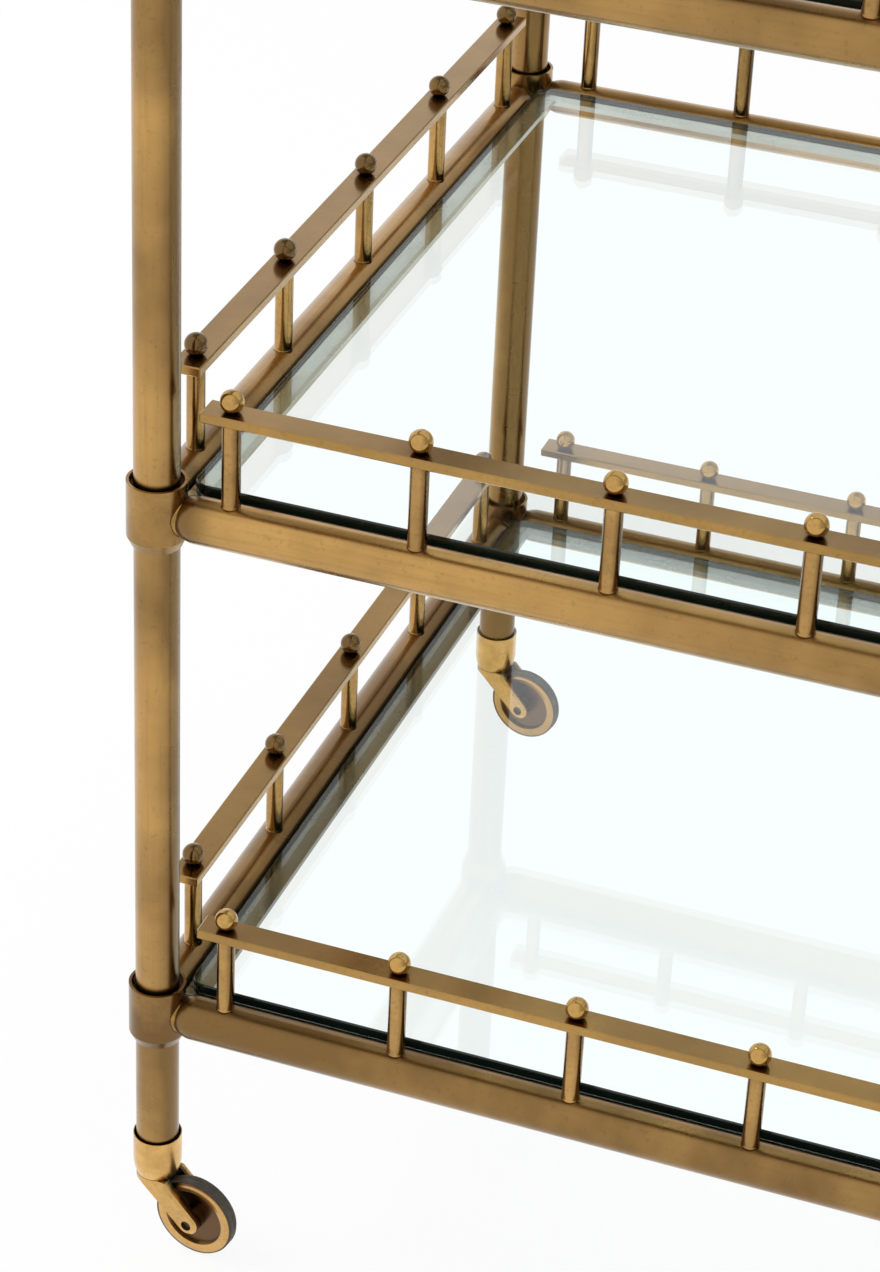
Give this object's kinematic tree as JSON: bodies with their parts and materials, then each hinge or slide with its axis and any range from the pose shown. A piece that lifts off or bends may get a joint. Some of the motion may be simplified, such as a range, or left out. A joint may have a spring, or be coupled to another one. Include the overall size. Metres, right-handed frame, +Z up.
{
  "type": "bar cart",
  "caption": "Tiered brass bar cart with glass shelves, low galleries of rods and ball finials, and swivel casters.",
  "frame": {"origin": "on the floor under the middle of the cart", "axes": "+X along the cart's length, +Y from the front to the rear, +Z up"},
  "size_m": [0.831, 0.5572, 0.802],
  "materials": {
    "brass_tube": "polished",
    "brass_trim": "polished",
    "nickel_strip": "nickel plated",
    "brass_caster": "satin",
    "steel_pin": "turned",
    "glass": "clear",
    "rubber": "matte"
  },
  "bodies": {
    "frame": {"post_front_left": "brass_tube", "post_front_right": "brass_tube", "post_rear_left": "brass_tube", "post_rear_right": "brass_tube", "post_caps": "brass_trim", "collars_bottom": "brass_trim", "rail_front_bottom": "brass_tube", "rail_rear_bottom": "brass_tube", "rail_left_bottom": "brass_tube", "rail_right_bottom": "brass_tube", "ledges_bottom": "nickel_strip", "glass_bottom": "glass", "rods_bottom": "brass_trim", "bars_bottom": "brass_trim", "balls_bottom": "brass_trim", "collars_middle": "brass_trim", "rail_front_middle": "brass_tube", "rail_rear_middle": "brass_tube", "rail_left_middle": "brass_tube", "rail_right_middle": "brass_tube", "ledges_middle": "nickel_strip", "glass_middle": "glass", "rods_middle": "brass_trim", "bars_middle": "brass_trim", "balls_middle": "brass_trim", "collars_top": "brass_trim", "rail_front_top": "brass_tube", "rail_rear_top": "brass_tube", "rail_left_top": "brass_tube", "rail_right_top": "brass_tube", "ledges_top": "nickel_strip", "glass_top": "glass", "rods_top": "brass_trim", "bars_top": "brass_trim", "balls_top": "brass_trim", "caster_cups": "brass_caster", "kingpins": "steel_pin"},
    "swivel_front_left": {"fork_front_left": "brass_caster", "axle_front_left": "steel_pin"},
    "rolling_front_left": {"wheel_front_left": "brass_caster", "tyre_front_left": "rubber"},
    "swivel_front_right": {"fork_front_right": "brass_caster", "axle_front_right": "steel_pin"},
    "rolling_front_right": {"wheel_front_right": "brass_caster", "tyre_front_right": "rubber"},
    "swivel_rear_left": {"fork_rear_left": "brass_caster", "axle_rear_left": "steel_pin"},
    "rolling_rear_left": {"wheel_rear_left": "brass_caster", "tyre_rear_left": "rubber"},
    "swivel_rear_right": {"fork_rear_right": "brass_caster", "axle_rear_right": "steel_pin"},
    "rolling_rear_right": {"wheel_rear_right": "brass_caster", "tyre_rear_right": "rubber"}
  },
  "joints": [
    {"name": "swivel_front_left", "type": "hinge", "parent": "frame", "child": "swivel_front_left", "pos_m": [-0.401, -0.264, 0.0437], "axis": [0, 0, 1], "continuous": true},
    {"name": "wheel_front_left", "type": "hinge", "parent": "swivel_front_left", "child": "rolling_front_left", "pos_m": [-0.37754, -0.2673, 0.0225], "axis": [0.1392, 0.9903, 0], "continuous": true},
    {"name": "swivel_front_right", "type": "hinge", "parent": "frame", "child": "swivel_front_right", "pos_m": [0.401, -0.264, 0.0437], "axis": [0, 0, 1], "continuous": true},
    {"name": "wheel_front_right", "type": "hinge", "parent": "swivel_front_right", "child": "rolling_front_right", "pos_m": [0.37754, -0.2673, 0.0225], "axis": [0.1392, -0.9903, 0], "continuous": true},
    {"name": "swivel_rear_left", "type": "hinge", "parent": "frame", "child": "swivel_rear_left", "pos_m": [-0.401, 0.264, 0.0437], "axis": [0, 0, 1], "continuous": true},
    {"name": "wheel_rear_left", "type": "hinge", "parent": "swivel_rear_left", "child": "rolling_rear_left", "pos_m": [-0.3777, 0.25972, 0.0225], "axis": [0.1805, 0.9836, 0], "continuous": true},
    {"name": "swivel_rear_right", "type": "hinge", "parent": "frame", "child": "swivel_rear_right", "pos_m": [0.401, 0.264, 0.0437], "axis": [0, 0, 1], "continuous": true},
    {"name": "wheel_rear_right", "type": "hinge", "parent": "swivel_rear_right", "child": "rolling_rear_right", "pos_m": [0.3777, 0.25972, 0.0225], "axis": [0.1805, -0.9836, 0], "continuous": true}
  ]
}
